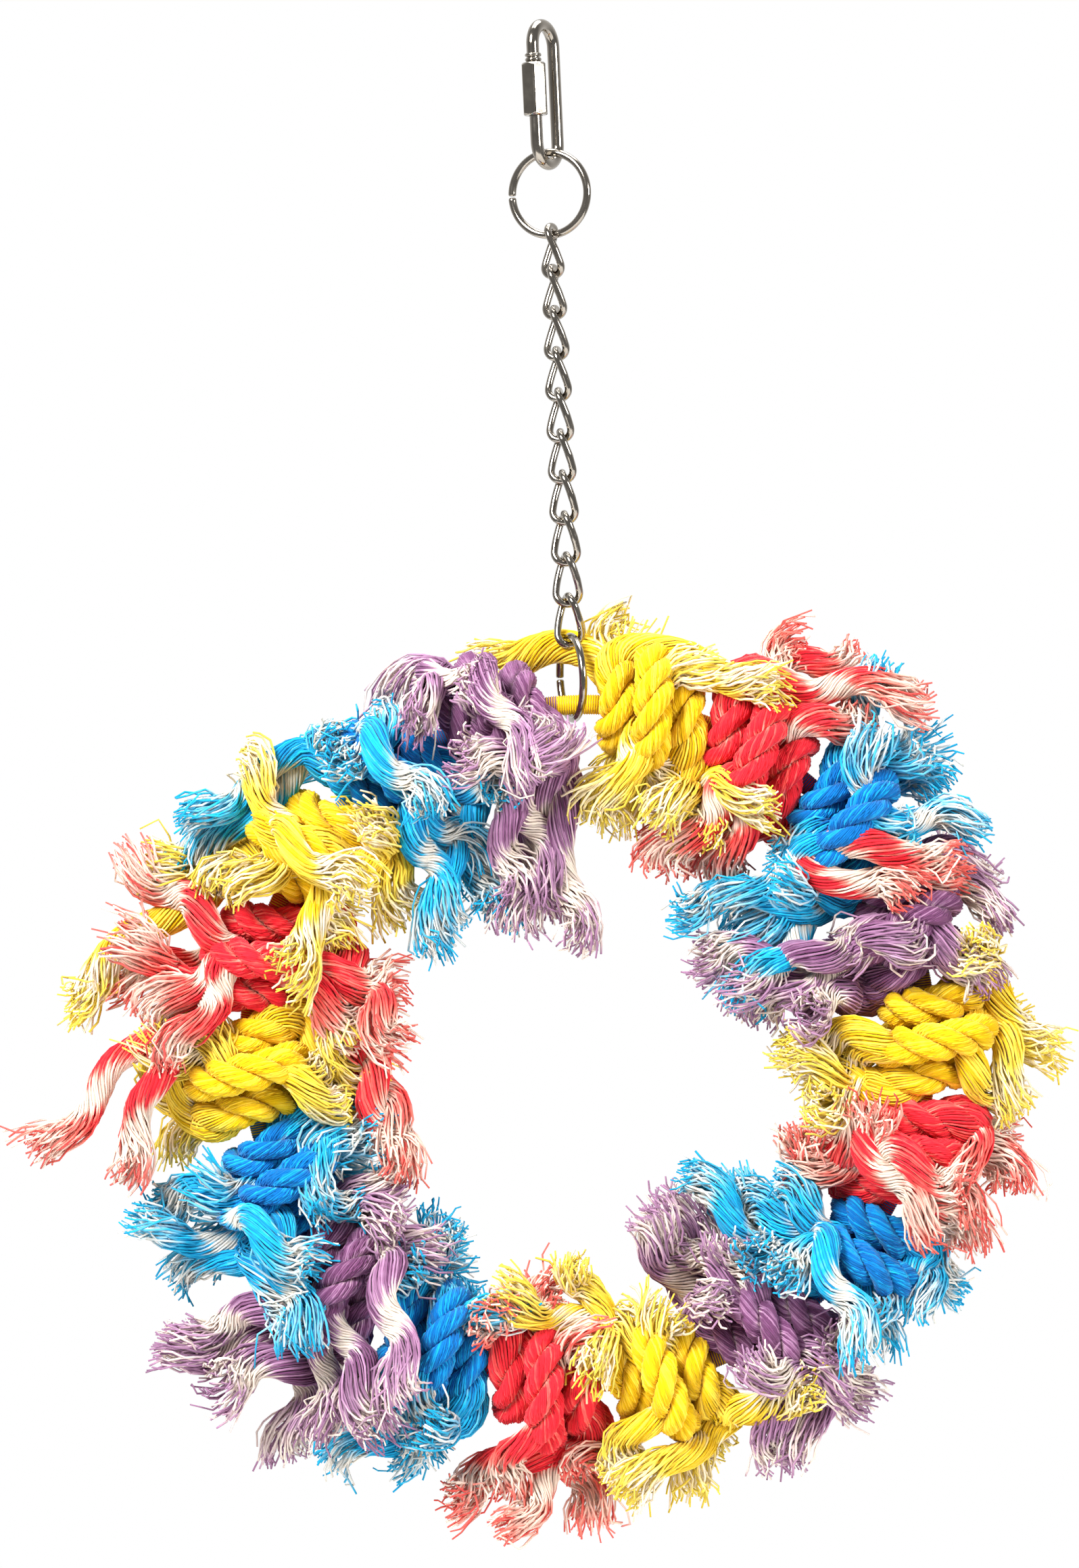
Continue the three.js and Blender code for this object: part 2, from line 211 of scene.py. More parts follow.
class RopeSettings(bpy.types.PropertyGroup):
    """Sizes and dyes of the rope."""

    diameter: length_setting("Rope Diameter", "Across the laid rope", ROPE)
    lay: length_setting("Lay", "Length of one full turn of a strand", 24)
    yarn: length_setting("Yarn Diameter", "Across one cotton yarn", 0.7)
    fray: length_setting("Fray", "Length over which a strand's yarns splay at its end", 22)
    fan: FloatProperty(
        name="Fan", description="How many times wider a frayed end is than its tail", default=1.95, min=1
    )
    seed: IntProperty(name="Seed", description="Start of the random numbers", default=7, min=0)
    yellow: colour_setting("Yellow", "Yellow dye where it took fully", "#F2C60C")
    yellow_light: colour_setting("Light Yellow", "Yellow dye in the tails", "#F8DE58")
    red: colour_setting("Red", "Red dye where it took fully", "#EC2836")
    red_light: colour_setting("Light Red", "Red dye in the tails", "#F2786A")
    blue: colour_setting("Blue", "Blue dye where it took fully", "#0672BE")
    blue_light: colour_setting("Light Blue", "Blue dye in the tails", "#1CB4E0")
    purple: colour_setting("Purple", "Purple dye where it took fully", "#7A4770")
    purple_light: colour_setting("Light Purple", "Purple dye in the tails", "#B084A6")
    undyed: colour_setting("Undyed", "Cotton that took no dye", "#ECDFCE")


class FittingSettings(bpy.types.PropertyGroup):
    """Finish of the quick link, the rings and the chain."""

    plate: colour_setting("Nickel Plate", "Colour of the plating", "#A29B91")
    polish: FloatProperty(
        name="Roughness", description="Roughness of the plating", default=0.12, min=0, max=1
    )


class StageSettings(bpy.types.PropertyGroup):
    """Camera, floor and lights."""

    distance: length_setting("Camera Distance", "From the camera to the hoop", 1700)
    lean: FloatProperty(
        name="Lean",
        description="How far the hang line leans in the picture",
        default=math.radians(2.6),
        subtype="ANGLE",
    )
    key: FloatProperty(
        name="Key Light", description="Power of the key light", default=47, min=0, subtype="POWER"
    )
    fill: FloatProperty(
        name="Fill Light", description="Power of the fill light", default=14, min=0, subtype="POWER"
    )
    ambient: FloatProperty(
        name="Ambient", description="How bright the room is in front of the ring", default=0.28, min=0
    )
    floor: colour_setting("Floor", "Colour of the floor", "#F4F3F1")


# Curves and tubes


def smoothstep(start, end, x):
    t = np.clip((x - start) / (end - start), 0, 1)
    return t * t * (3 - 2 * t)


def unit(v):
    return v / np.linalg.norm(v, axis=-1, keepdims=True)


def run_of(points):
    """Distance along a row of points."""
    return np.concatenate([[0], np.cumsum(np.linalg.norm(np.diff(points, axis=0), axis=1))])


def at_runs(points, runs, run=None):
    """Points at the given distances along a row of points."""
    run = run_of(points) if run is None else run
    return np.stack([np.interp(runs, run, points[:, k]) for k in range(3)], axis=-1)


def smooth_route(points, steps):
    """A smooth curve from the second to the last point, with the first only giving its direction."""
    points = [np.asarray(p, float) for p in points]
    points.append(2 * points[-1] - points[-2])
    out = []
    for a, b, c, d in zip(points, points[1:], points[2:], points[3:]):
        gaps = [max(np.linalg.norm(q - p), 1e-6) ** 0.5 for p, q in ((a, b), (b, c), (c, d))]
        knots = np.cumsum([0] + gaps)
        t = np.linspace(knots[1], knots[2], steps, endpoint=False)[:, None]
        mix = lambda p, q, i, j: ((knots[j] - t) * p + (t - knots[i]) * q) / (knots[j] - knots[i])
        ab, bc, cd = mix(a, b, 0, 1), mix(b, c, 1, 2), mix(c, d, 2, 3)
        out.append(mix(mix(ab, bc, 0, 2), mix(bc, cd, 1, 3), 1, 2))
    return np.concatenate([*out, points[-2][None]])


def carried_frames(points, closed=False):
    """Two directions across each of many curves, carried along without twist."""
    if closed:
        along = unit(np.roll(points, -1, axis=-2) - np.roll(points, 1, axis=-2))
    else:
        along = unit(np.gradient(points, axis=-2))
    across = np.empty_like(points)
    start = np.cross(along[..., 0, :], np.array([0.31, 0.87, 0.39]))
    across[..., 0, :] = unit(start)
    for i in range(1, points.shape[-2]):
        last = across[..., i - 1, :]
        here = along[..., i, :]
        across[..., i, :] = unit(last - np.sum(last * here, axis=-1, keepdims=True) * here)
    return across, np.cross(along, across)


def tubes(points, radii, sides, closed=False):
    """Vertices and faces of round tubes along many curves, each with as many points."""
    count, steps = points.shape[:2]
    across, beside = carried_frames(points, closed)
    if closed:
        first, last = across[:, :1], across[:, -1:]
        slip = np.arctan2(np.sum(first * beside[:, -1:], -1), np.sum(first * last, -1))[..., None]
        turn = slip * np.linspace(0, 1, steps)[None, :, None]
        across, beside = (
            across * np.cos(turn) + beside * np.sin(turn),
            beside * np.cos(turn) - across * np.sin(turn),
        )
    angle = np.linspace(0, 2 * np.pi, sides, endpoint=False)
    ring = across[:, :, None] * np.cos(angle)[:, None] + beside[:, :, None] * np.sin(angle)[:, None]
    vertices = points[:, :, None] + ring * radii[..., None, None]
    spans = steps if closed else steps - 1
    tube, step, side = np.meshgrid(np.arange(count), np.arange(spans), np.arange(sides), indexing="ij")
    corner = lambda i, j: (tube * steps + (step + i) % steps) * sides + (side + j) % sides
    faces = np.stack([corner(0, 0), corner(0, 1), corner(1, 1), corner(1, 0)], axis=-1).reshape(-1, 4)
    caps = []
    if not closed:
        starts = np.arange(count)[:, None] * steps * sides
        caps = [starts + np.arange(sides)[::-1], starts + (steps - 1) * sides + np.arange(sides)]
    return vertices.reshape(-1, 3), faces, caps


def wire(route, radius, sides, closed=False):
    """One tube along one route."""
    return tubes(route[None], np.broadcast_to(radius, len(route))[None], sides, closed)


def mesh_object(name, parts, material, values=None):
    """One object from parts of vertices, faces and caps, with named values on its vertices."""
    vertices, loops, sizes, offset = [], [], [], 0
    for points, faces, caps in parts:
        vertices.append(points)
        for group in (faces, *caps):
            if len(group):
                loops.append((group + offset).ravel())
                sizes.append(np.full(len(group), group.shape[1]))
        offset += len(points)
    vertices, loops, sizes = np.concatenate(vertices) * MM, np.concatenate(loops), np.concatenate(sizes)
    mesh = bpy.data.meshes.new(name)
    mesh.vertices.add(len(vertices))
    mesh.vertices.foreach_set("co", vertices.astype(np.float32).ravel())
    mesh.loops.add(len(loops))
    mesh.loops.foreach_set("vertex_index", loops.astype(np.int32))
    mesh.polygons.add(len(sizes))
    mesh.polygons.foreach_set("loop_start", (np.cumsum(sizes) - sizes).astype(np.int32))
    mesh.update(calc_edges=True)
    mesh.validate()
    for key, value in (values or {}).items():
        mesh.attributes.new(key, "FLOAT", "POINT").data.foreach_set("value", value.astype(np.float32))
    mesh.shade_smooth()
    mesh.materials.append(material)
    piece = bpy.data.objects.new(name, mesh)
    bpy.context.scene.collection.objects.link(piece)
    return piece


def turned(points, degrees, height=0.0):
    """Points turned about the vertical and lifted."""
    cos, sin = math.cos(math.radians(degrees)), math.sin(math.radians(degrees))
    x, y, z = points[..., 0], points[..., 1], points[..., 2]
    return np.stack([x * cos - y * sin, x * sin + y * cos, z + height], axis=-1)


# Materials


def add_node(tree, kind, links=(), sockets=None, **settings):
    """Adds a node with its links, each a socket and its source, its sockets' values and its own settings."""
    node = tree.nodes.new(kind)
    for key, value in (sockets or {}).items():
        node.inputs[key].default_value = value
    for key, value in settings.items():
        setattr(node, key, value)
    for socket, source in links:
        tree.links.new(source, node.inputs[socket])
    return node


def pattern_scale(size):
    """Noise scale that gives a pattern of this size in millimetres."""
    return 1 / (size * MM)


def new_material(name):
    material = bpy.data.materials.new(name)
    material.use_nodes = True
    tree = material.node_tree
    return material, tree, tree.nodes["Principled BSDF"]


def cotton(name, dye, light, undyed):
    """Soft spun cotton yarn, dyed by hand: matt and fuzzy, deep where dye pooled, pale where it missed."""
    material, tree, surface = new_material(name)
    amount = add_node(tree, "ShaderNodeAttribute", attribute_name="dye")
    tone = add_node(tree, "ShaderNodeAttribute", attribute_name="tone")
    place = add_node(tree, "ShaderNodeTexCoord").outputs["Object"]
    # Dye takes unevenly in blots about 3 mm across
    blots = add_node(
        tree, "ShaderNodeTexNoise", [("Vector", place)], {"Scale": pattern_scale(3.0), "Detail": 3.0}
    )
    taken = [(0, blots.outputs["Fac"]), (2, amount.outputs["Fac"])]
    uneven = add_node(tree, "ShaderNodeMath", taken, {1: 0.3}, operation="MULTIPLY_ADD")
    ramp = add_node(tree, "ShaderNodeValToRGB", [("Fac", uneven.outputs[0])])
    stops = ramp.color_ramp.elements
    stops[0].position, stops[0].color = 0.08, (*undyed, 1)
    stops[1].position, stops[1].color = 1.0, (*dye, 1)
    stops.new(0.68).color = (*light, 1)
    toned = [("Color", ramp.outputs["Color"]), ("Value", tone.outputs["Fac"])]
    shade = add_node(tree, "ShaderNodeHueSaturation", toned)
    tree.links.new(shade.outputs["Color"], surface.inputs["Base Color"])
    surface.inputs["Roughness"].default_value = 0.95
    surface.inputs["Specular IOR Level"].default_value = 0.12
    surface.inputs["Sheen Weight"].default_value = 0.12
    surface.inputs["Sheen Roughness"].default_value = 0.5
    # Fibres about 0.2 mm apart, coarser than spun cotton so that they show
    fibres = add_node(
        tree, "ShaderNodeTexNoise", [("Vector", place)], {"Scale": pattern_scale(0.2), "Detail": 2.0}
    )
    relief = add_node(
        tree, "ShaderNodeBump", [("Height", fibres.outputs["Fac"])], {"Strength": 0.5, "Distance": 0.1 * MM}
    )
    tree.links.new(relief.outputs["Normal"], surface.inputs["Normal"])
    return material


def nickel_plate(name, colour, roughness):
    """Polished nickel plate on bent steel wire: warm mirror with faint handling haze and slight waviness."""
    material, tree, surface = new_material(name)
    surface.inputs["Metallic"].default_value = 1.0
    place = add_node(tree, "ShaderNodeTexCoord").outputs["Object"]
    # Handling haze in patches about 4 mm across
    haze = add_node(
        tree, "ShaderNodeTexNoise", [("Vector", place)], {"Scale": pattern_scale(4.0), "Detail": 4.0}
    )
    dull = add_node(
        tree,
        "ShaderNodeMapRange",
        [("Value", haze.outputs["Fac"])],
        sockets={"From Min": 0.3, "From Max": 0.75, "To Min": roughness * 0.7, "To Max": roughness * 1.7},
    )
    tree.links.new(dull.outputs["Result"], surface.inputs["Roughness"])
    tint = add_node(tree, "ShaderNodeValToRGB", [("Fac", haze.outputs["Fac"])])
    stops = tint.color_ramp.elements
    stops[0].position, stops[0].color = 0.3, (*(c * 0.86 for c in colour), 1)
    stops[1].position, stops[1].color = 0.7, (*colour, 1)
    tree.links.new(tint.outputs["Color"], surface.inputs["Base Color"])
    # Waviness of the drawn wire, about 2 mm
    wave = add_node(
        tree, "ShaderNodeTexNoise", [("Vector", place)], {"Scale": pattern_scale(2.1), "Detail": 2.0}
    )
    relief = add_node(
        tree, "ShaderNodeBump", [("Height", wave.outputs["Fac"])], {"Strength": 0.04, "Distance": 0.12 * MM}
    )
    tree.links.new(relief.outputs["Normal"], surface.inputs["Normal"])
    return material


def dull_wire(name):
    """Bare drawn steel wire under the rope: grey, with a soft gloss."""
    material, tree, surface = new_material(name)
    surface.inputs["Metallic"].default_value = 1.0
    surface.inputs["Roughness"].default_value = 0.42
    place = add_node(tree, "ShaderNodeTexCoord").outputs["Object"]
    # Drawing marks in patches about 2 mm long
    grain = add_node(
        tree, "ShaderNodeTexNoise", [("Vector", place)], {"Scale": pattern_scale(1.7), "Detail": 4.0}
    )
    tint = add_node(tree, "ShaderNodeValToRGB", [("Fac", grain.outputs["Fac"])])
    tint.color_ramp.elements[0].color = (*linear("#6F6E6B"), 1)
    tint.color_ramp.elements[1].color = (*linear("#9A9995"), 1)
    tree.links.new(tint.outputs["Color"], surface.inputs["Base Color"])
    return material


def floor_paper(name, colour):
    """Matt studio paper: pale, with hardly any grain."""
    material, tree, surface = new_material(name)
    surface.inputs["Roughness"].default_value = 0.95
    place = add_node(tree, "ShaderNodeTexCoord").outputs["Object"]
    # Fleck of the paper, drawn as coarse as 2.5 mm so that it shows at all
    grain = add_node(
        tree, "ShaderNodeTexNoise", [("Vector", place)], {"Scale": pattern_scale(2.5), "Detail": 2.0}
    )
    tint = add_node(tree, "ShaderNodeValToRGB", [("Fac", grain.outputs["Fac"])])
    tint.color_ramp.elements[0].color = (*(c * 0.97 for c in colour), 1)
    tint.color_ramp.elements[1].color = (*colour, 1)
    tree.links.new(tint.outputs["Color"], surface.inputs["Base Color"])
    return material


def fitted(piece, body, node):
    """Makes a piece ride on a body and stand for its solid."""
    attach(piece, body)
    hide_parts(node)


def plated():
    """The one nickel plate of all fittings."""
    known = bpy.data.materials.get("nickel_plated_wire")
    settings = bpy.context.scene.ring_fittings
    return known or nickel_plate("nickel_plated_wire", tuple(settings.plate), settings.polish)


# Steel fittings


class ROPERING_OT_quick_link(bpy.types.Operator):
    """Bent wire link, open at its gate, with collar beads above the nut"""

    bl_idname = "ropering.quick_link"
    bl_label = "Quick Link"

    def execute(self, context):
        bend = LINK_SPACING / 2
        top = LINK_WIRE / 2 - bend
        bottom = LINK_WIRE / 2 - (LINK_LENGTH - LINK_WIRE) + bend
        gate = NUT_TOP - NUT_GRIP
        arc = np.linspace(np.pi, 0, LINK_BEND_STEPS)
        across, up = bend * np.cos(arc), bend * np.sin(arc)
        leg = np.linspace(0, 1, LINK_LEG_STEPS)
        line = lambda x, a, b: np.stack([x + 0 * leg, 0 * leg, a + (b - a) * leg], axis=-1)
        half = lambda z, sign: np.stack([sign * across, 0 * arc, z + sign * up], axis=-1)
        route = [line(-bend, gate, top)[:-1], half(top, 1), line(bend, top, bottom)[1:-1], half(bottom, -1)]
        route = np.concatenate([*route, line(-bend, bottom, gate - GATE)[1:]])
        parts = [wire(route, LINK_WIRE / 2, LINK_SIDES)]
        around = np.linspace(0, 2 * np.pi, BEAD_STEPS, endpoint=False)
        for row in range(BEAD_ROWS):
            height = NUT_TOP + SEAT + BEAD_WIRE / 2 + BEAD_PITCH * row
            collar = np.stack([np.cos(around), np.sin(around), 0 * around], axis=-1) * LINK_WIRE / 2
            collar += np.array([-bend, 0, height])
            parts.append(wire(collar, BEAD_WIRE / 2, BEAD_SIDES, closed=True))
        parts = [(turned(points, LINK_TURN), *rest) for points, *rest in parts]
        fitted(mesh_object("quick_link_wire", parts, plated()), "quick_link", "quick_link")
        return {"FINISHED"}


class ROPERING_OT_nut(bpy.types.Operator):
    """Hexagonal sleeve nut with chamfered ends"""

    bl_idname = "ropering.nut"
    bl_label = "Sleeve Nut"

    def execute(self, context):
        corner = NUT_FLATS / math.sqrt(3)
        bore = LINK_WIRE / 2 + NUT_CLEARANCE
        half = NUT_LENGTH / 2
        around = np.linspace(0, 2 * np.pi, NUT_STEPS, endpoint=False)
        to_flat = (around + np.pi / 6) % (np.pi / 3) - np.pi / 6
        hexagon = np.minimum(NUT_FLATS / 2 / np.cos(to_flat), corner - NUT_ROUNDING)
        chamfer = np.linspace(0, NUT_CHAMFER, NUT_CHAMFER_ROWS)
        heights = np.concatenate([chamfer, np.linspace(NUT_CHAMFER, half, NUT_FLAT_ROWS)[1:]])
        heights = np.concatenate([heights - half, (half - heights)[::-1][1:]])
        limits = corner - NUT_CHAMFER + np.minimum(half - abs(heights), NUT_CHAMFER)
        round_bore = np.ones(len(around))
        rims = [(bore * round_bore, heights[0]), ((bore + NUT_LIP) * round_bore, heights[0])]
        rings = [(bore * round_bore, 0.0), *rims]
        rings += [(np.minimum(hexagon, limit), z) for limit, z in zip(limits, heights)]
        rings += [(r, -z) for r, z in rims[::-1]]
        cos, sin = np.cos(around), np.sin(around)
        points = np.stack([np.stack([r * cos, r * sin, z + 0 * r], axis=-1) for r, z in rings])
        points += np.array([-LINK_SPACING / 2, 0, NUT_TOP - half])
        count, sides = len(rings), len(around)
        row, side = np.meshgrid(np.arange(count), np.arange(sides), indexing="ij")
        at = lambda i, j: (row + i) % count * sides + (side + j) % sides
        faces = np.stack([at(0, 0), at(0, 1), at(1, 1), at(1, 0)], axis=-1).reshape(-1, 4)
        piece = mesh_object("sleeve_nut", [(turned(points.reshape(-1, 3), LINK_TURN), faces, [])], plated())
        piece.data.set_sharp_from_angle(angle=math.radians(NUT_SHARP))
        fitted(piece, "quick_link_nut", "quick_link_nut")
        return {"FINISHED"}


class ROPERING_OT_rings(bpy.types.Operator):
    """The two wire rings, each bent round until its ends meet"""

    bl_idname = "ropering.rings"
    bl_label = "Wire Rings"

    def execute(self, context):
        for node, turn in RING_TURNS.items():
            low, high = (np.array(corner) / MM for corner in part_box(node))
            radius = (high[2] - low[2] - RING_WIRE) / 2
            gap = RING_BUTT / radius
            angle = np.linspace(math.pi + gap / 2, 3 * math.pi - gap / 2, RING_STEPS)
            route = np.stack([radius * np.cos(angle), 0 * angle, radius * np.sin(angle)], axis=-1)
            radii = np.full(len(route), RING_WIRE / 2)
            radii[[0, -1]] *= CUT_END
            points, *rest = wire(route, radii, RING_SIDES)
            part = (turned(points, turn, (low[2] + high[2]) / 2), *rest)
            fitted(mesh_object(node + "_wire", [part], plated()), node, node)
        return {"FINISHED"}


class ROPERING_OT_chain(bpy.types.Operator):
    """Twisted chain links, each a closed oval of wire with a faint weld"""

    bl_idname = "ropering.chain"
    bl_label = "Chain"

    def execute(self, context):
        for i in range(CHAIN_LINKS):
            node = f"chain_link_{i + 1:02d}"
            low, high = (np.array(corner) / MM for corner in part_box(node))
            length = high[2] - low[2] - CHAIN_WIRE
            reach = (CHAIN_WIDTH - CHAIN_WIRE) / 2
            straight = length - 2 * reach
            bend = np.linspace(0, np.pi, CHAIN_BEND_STEPS)
            across, up = reach * np.cos(bend), straight / 2 + reach * np.sin(bend)
            leg = np.linspace(-straight / 2, straight / 2, CHAIN_LEG_STEPS)[1:-1]
            side = np.full(len(leg), reach)
            x = np.concatenate([across, -side, -across, side])
            z = np.concatenate([up, -leg, -up, leg])
            twist = math.radians(CHAIN_TWIST) * (z / length + 0.5)
            route = np.stack([x * np.cos(twist), x * np.sin(twist), z], axis=-1)
            weld = 1 + WELD_SWELL * np.exp(-((z / WELD_LENGTH) ** 2)) * (x > 0)
            points, *rest = wire(route, CHAIN_WIRE / 2 * weld, CHAIN_SIDES, closed=True)
            turn = FIRST_LINK_TURN + (LAST_LINK_TURN - FIRST_LINK_TURN) * i / (CHAIN_LINKS - 1)
            part = (turned(points, turn, (low[2] + high[2]) / 2), *rest)
            fitted(mesh_object(node + "_wire", [part], plated()), node, node)
        return {"FINISHED"}


class ROPERING_OT_core(bpy.types.Operator):
    """Round hoop inside the rope"""

    bl_idname = "ropering.core"
    bl_label = "Core Hoop"

    def execute(self, context):
        angle = np.linspace(0, 2 * np.pi, CORE_STEPS, endpoint=False)
        route = CORE_RADIUS * np.stack([np.cos(angle), 0 * angle, np.sin(angle)], axis=-1)
        points, *rest = wire(route, CORE_WIRE / 2, CORE_SIDES, closed=True)
        piece = mesh_object("core_hoop", [(points + HOOP, *rest)], dull_wire("drawn_steel_wire"))
        fitted(piece, "rope_ring", "core_ring")
        return {"FINISHED"}


# Rope knots

STRANDS = 3
# Yarns of a strand: share of its radius, how many lie there, and whether they run on through the knot
STRAND_YARNS = ((1.0, 24, True), (0.92, 24, False), (0.68, 16, False), (0.38, 8, False))
LOOSE_STRAND = 4.3  # radius of a strand once it has left the rope
KNOT_YARN_LAY = 17.5
LOOSE_YARN_LAY = 48.0
YARN_SIDES = {True: 4, False: 3}
HITCH_STEPS = 320
TAIL_STEPS = 24
STRAY_STEPS = 16
LINE_STEP = 1.0
STEP = 2.3  # between a yarn's rings of corners
LONGEST = 1200.0  # where a knot has more strand than this in all, the steps are longer
TAIL_LEAD = 0.12  # half turns of the hitch that give a tail its direction
TAIL_SHARES = (0.4, 0.75)  # of the way to its end, where a tail is kept clear of the core
CLEAR_OF_CORE = 18.0
SPLIT = (0.02, 0.25)  # share of a tail at which its strands part
SPLIT_OVER = 0.45  # share of a tail over which they do
UNLAID = 0.2  # share of a strand's wave that is lost there
OPENING = (-3.0, 13.0)  # a strand opens over this length beyond the knot
INTO_KNOT = 4.0  # yarns inside a strand end this far in the knot
FRONT_REACH = 25.0  # beyond these a yarn is pressed back, so the ring stays as thick as it is
BACK_REACH = 18.0
GIVE = 5.0
DROOP = 2.5  # how far a frayed yarn's end sinks
UNTWIST = 0.8  # share of a strand's twist that is lost where it frays
SPLAY = (0.8, 1.25)  # how ends differ in how wide they fray
STOUT = (0.85, 1.15)  # how tails differ in how thick they are
OWN_SPLAY = (0.6, 1.3)  # how the yarns of an end differ in how far they splay
SPLAY_CURVE = 1.6  # how late along its end a strand spreads
FLATTENED = 0.4  # by which a frayed end is thinner one way than the other
INSIDE = 0.5  # yarns that end in a knot draw in to this share of the strand
TRIM = 5.0  # yarns end up to this far before their strand does
WAVES = ((8, 0.42), (5.3, 0.2), (24, 1.6))  # length and height of a frayed yarn's curls
LAID_CURL = 0.04  # share of them that is left in the knot
LOOSE_CURL = 0.05  # and besides in the tails
TIP = 6.0  # a yarn gets thinner over this length
TIP_THIN = 0.25
SERVED = 11.0  # degrees to either side of a knot over which one of its yarns covers the core
SERVED_TO_RING = 26.0  # and back from the first knot, under the hanging ring
SERVING_STEPS = 12
SERVING_PITCH = 0.95  # of a yarn's thickness
SERVED_TONE = 0.95
CRIMP = 2.2  # a loose strand keeps the wave of its lay
WILD_SHARE = 0.06  # of the yarns, which curl this many times more than the others
WILD = 3.2
# Loose strands tucked into each knot, as long as its tails on that side: degrees from it, whether they
# reach inward and their distance in front
STRAYS = ((-9, True, 8), (-1, True, -8), (7, True, 2), (-6, False, -8), (8, False, 4))
# More of them on some knots: degrees from it, and their ends' distances from the hoop's middle and in front
MORE_STRAYS = {
    1: ((-10, 68, 6), (-6, 78, -8)),
    3: ((-9, 74, 4), (-7, 122, 6), (4, 112, 8)),
    4: ((-6, 104, 20), (-6, 74, 8), (9, 112, 6)),
    6: ((-5, 109, 26), (2, 116, 18), (7, 104, 27)),
    7: ((11, 74, 26), (3, 105, 26)),
    8: ((2, 82, 26), (-4, 116, 10)),
    11: ((-3, 113, 24), (9, 120, 6)),
    12: ((-17, 117, 26), (-16, 100, 28), (-8, 128, 14)),
    13: ((-19, 110, 26), (-11, 89, 27), (6, 114, 10)),
    14: ((9, 112, 4),),
    15: ((-16, 118, 20), (-7, 126, 14)),
    16: ((-10, 110, 14), (4, 82, 27)),
    17: ((-6, 112, 22), (5, 86, 27)),
    18: ((-7, 102, 28), (7, 85, 28), (0, 112, 22), (14, 104, 28)),
}
OVER = 15.0  # a strand that ends this near the core's circle crosses the front of its knot
SAG = {False: 5.0, True: 12.0}  # how far loose strands hang down: the others, and those across the front
OVER_LIFT = 9.0  # how far those across the front bow forward
TUCKED_LIFT = 5.0  # how far the others bow, and where they leave the core
TUCKED_OUT = 4.0
TUCKED_FRONT = 9.0
STRAY_SHARES = (0.3, 0.65)  # of the way to its end, where a loose strand bows
TURN_SPREAD = 3.0  # how ends of loose strands differ in degrees, distance and depth
DISTANCE_SPREAD = 6.0
FRONT_SPREAD = 4.0


def hitch_along(turn):
    """Place along the core of each turn, counted in half turns from the crossing."""
    size = 2 * np.abs(turn)
    i = np.minimum(size.astype(int), len(HITCH_PLACES) - 2)
    padded = np.concatenate([[-HITCH_PLACES[1]], HITCH_PLACES, [2 * HITCH_PLACES[-1] - HITCH_PLACES[-2]]])
    before, start, end, after = (padded[i + k] for k in range(4))
    t = size - i
    cubic = 2 * before - 5 * start + 4 * end - after + t * (3 * (start - end) + after - before)
    return np.sign(turn) * (start + 0.5 * t * (end - before + t * cubic)) * TURN_STEP


def hitch_out(turn):
    """Distance from the core's middle."""
    lift = np.where(np.abs(turn) < CROSSING_SPAN, np.cos(np.pi * turn / (2 * CROSSING_SPAN)) ** 2, 0)
    return TURN_RADIUS + lift * (ROPE + CROSSING_GAP)


def on_hoop(clockwise, distance, front):
    """A place given in degrees, distance from the hoop's middle and distance in front of it."""
    a = math.radians(clockwise)
    return np.array([distance * math.sin(a), -front, distance * math.cos(a)])


def clear_of_core(p):
    """The place, pushed away from the core where it is too near."""
    a = math.atan2(p[0], p[2])
    ring = on_hoop(math.degrees(a), CORE_RADIUS, 0)
    away = p - ring
    return ring + away * max(1, CLEAR_OF_CORE / np.linalg.norm(away))


class Hitch:
    """The line of one knot's rope round the core."""

    def __init__(self, clockwise, turned_out):
        self.outward = on_hoop(clockwise, 1, 0)
        self.onward = on_hoop(clockwise + 90, 1, 0)
        forward = np.array([0, -1, 0])
        a = math.radians(turned_out)
        self.crossing = forward * math.cos(a) + self.outward * math.sin(a)
        self.sideways = self.outward * math.cos(a) - forward * math.sin(a)

    def place(self, turn):
        turn = np.atleast_1d(turn)
        out = hitch_out(turn)[:, None]
        half = (np.pi * turn)[:, None]
        round_core = out * (self.crossing * np.cos(half) + self.sideways * np.sin(half))
        return self.outward * CORE_RADIUS + round_core - self.onward * hitch_along(turn)[:, None]

    def tail(self, side, end):
        """From the last turn over the shoulder to a tail's end, clear of the knot."""
        shoulder = self.outward * CORE_RADIUS + self.sideways * side * (TURN_RADIUS + SHOULDER_OUT)
        shoulder = shoulder - self.onward * side * SHOULDER_ALONG
        between = [clear_of_core(shoulder + (end - shoulder) * share) for share in TAIL_SHARES]
        lead, root = self.place(side * np.array([HITCH_TURNS - TAIL_LEAD, HITCH_TURNS]))
        return smooth_route([lead, root, shoulder, *between, end], TAIL_STEPS)


